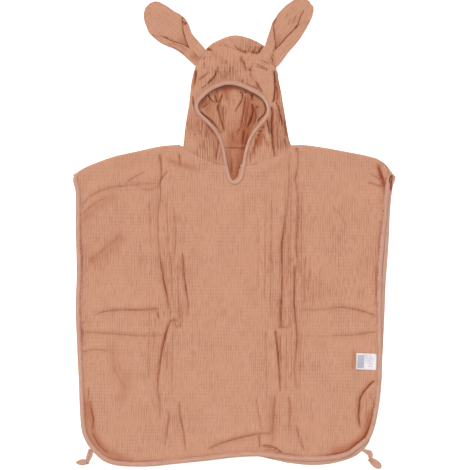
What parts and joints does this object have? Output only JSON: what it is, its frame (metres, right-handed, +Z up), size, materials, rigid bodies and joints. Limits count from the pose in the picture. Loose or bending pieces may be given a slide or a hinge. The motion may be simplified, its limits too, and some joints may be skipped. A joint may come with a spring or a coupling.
{
  "type": "hooded bath towel poncho",
  "caption": "Child's hooded bath poncho in crinkled cotton gauze with rabbit ears, bound edges, a slit neck and knotted corner ties, laid flat face up",
  "frame": {"origin": "middle of the laid garment's outline without its ties, on the surface that it lies on", "axes": "+Y runs from the hem to the hood, +X to the right of someone looking down at the front, +Z up from the surface"},
  "size_m": [0.6141, 0.8954, 0.0166],
  "materials": {
    "gauze": "crinkled cotton double gauze, terracotta, matt",
    "gauze_inside": "crinkled cotton double gauze, terracotta, seen in shade",
    "tape": "bias tape of the same gauze, folded and stitched",
    "satin": "white satin label ribbon"
  },
  "bodies": {
    "root": {"front_panel": "gauze", "back_panel": "gauze_inside", "binding_front": "tape", "binding_back": "tape", "hood_front": "gauze", "hood_crown": "gauze", "hood_back": "gauze_inside", "face_binding": "tape", "ear_left": "gauze", "ear_right": "gauze", "tie_left_strap": "tape", "tie_left_end": "tape", "tie_right_strap": "tape", "tie_right_end": "tape", "care_label": "satin"}
  },
  "joints": []
}
